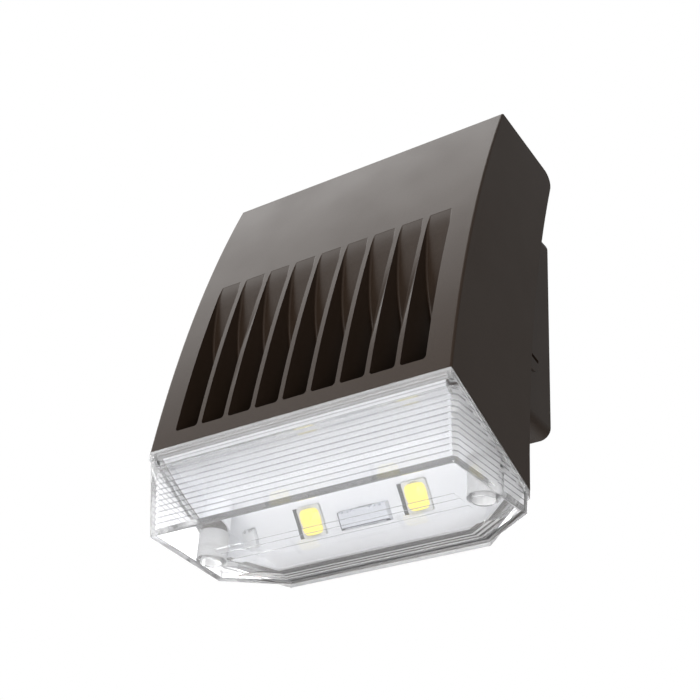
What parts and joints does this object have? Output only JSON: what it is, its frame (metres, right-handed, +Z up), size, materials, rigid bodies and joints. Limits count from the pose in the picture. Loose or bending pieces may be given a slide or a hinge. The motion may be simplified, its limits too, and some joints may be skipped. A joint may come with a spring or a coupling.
{
  "type": "wall pack light",
  "caption": "Compact outdoor wall light: ribbed cast housing hinged over a wall box, clear prismatic lens below, white reflector with domed emitters.",
  "frame": {"origin": "on the wall plane, at the middle of the back box's rear face and of its wall-hole pattern", "axes": "+X to the viewer's right when facing the light, +Z up, +Y into the wall"},
  "size_m": [0.1462, 0.092, 0.1837],
  "materials": {
    "bronze_coat": "satin textured powder coat",
    "bronze_coat_box": "satin textured powder coat",
    "bronze_plug": "satin",
    "black_rubber": "matte",
    "grey_silicone": "matte",
    "clear_lens": "clear, prismatic inside",
    "white_sheet": "satin white",
    "white_board": "white solder mask",
    "thermal_grey": "matte",
    "chip_white": "matte",
    "phosphor_yellow": "matte",
    "clear_silicone": "clear",
    "connector_white": "satin",
    "wire_black": "satin",
    "wire_red_black": "satin",
    "driver_shell": "satin",
    "potting_grey": "matte",
    "steel": "satin",
    "dark_steel": "satin",
    "ground_green": "satin",
    "connector_amber": "satin"
  },
  "bodies": {
    "box_body": {"back_box": "bronze_coat_box", "wall_gasket": "grey_silicone", "conduit_plugs": "bronze_plug", "ground_screw": "ground_green", "hinge_pins": "steel", "hinge_clips": "steel"},
    "door": {"front_housing": "bronze_coat", "door_gasket": "black_rubber", "lens": "clear_lens", "lens_gasket": "black_rubber", "lens_screws": "dark_steel", "reflector": "white_sheet", "led_board_left": "white_board", "led_board_right": "white_board", "thermal_pad": "thermal_grey", "board_screws": "steel", "led_packages": "chip_white", "led_phosphors": "phosphor_yellow", "led_domes": "clear_silicone", "bridge_connector": "connector_white", "lead_terminal": "connector_white", "led_leads": "wire_red_black", "lead_grommet": "black_rubber", "driver_case": "driver_shell", "driver_potting": "potting_grey", "driver_lid": "driver_shell", "driver_screws": "steel", "supply_leads": "wire_black", "wire_connectors": "connector_amber"},
    "lock_right": {"lock_screw_right": "dark_steel"},
    "lock_left": {"lock_screw_left": "dark_steel"}
  },
  "joints": [
    {"name": "door_hinge", "type": "hinge", "parent": "box_body", "child": "door", "pos_m": [0, -0.024, 0.064], "axis": [-1, 0, 0], "range_deg": [0, 60]},
    {"name": "lock_right_slide", "type": "slide", "parent": "door", "child": "lock_right", "axis": [0, 0, 1], "range_m": [0, 0.006]},
    {"name": "lock_left_slide", "type": "slide", "parent": "door", "child": "lock_left", "axis": [0, 0, 1], "range_m": [0, 0.006]}
  ]
}
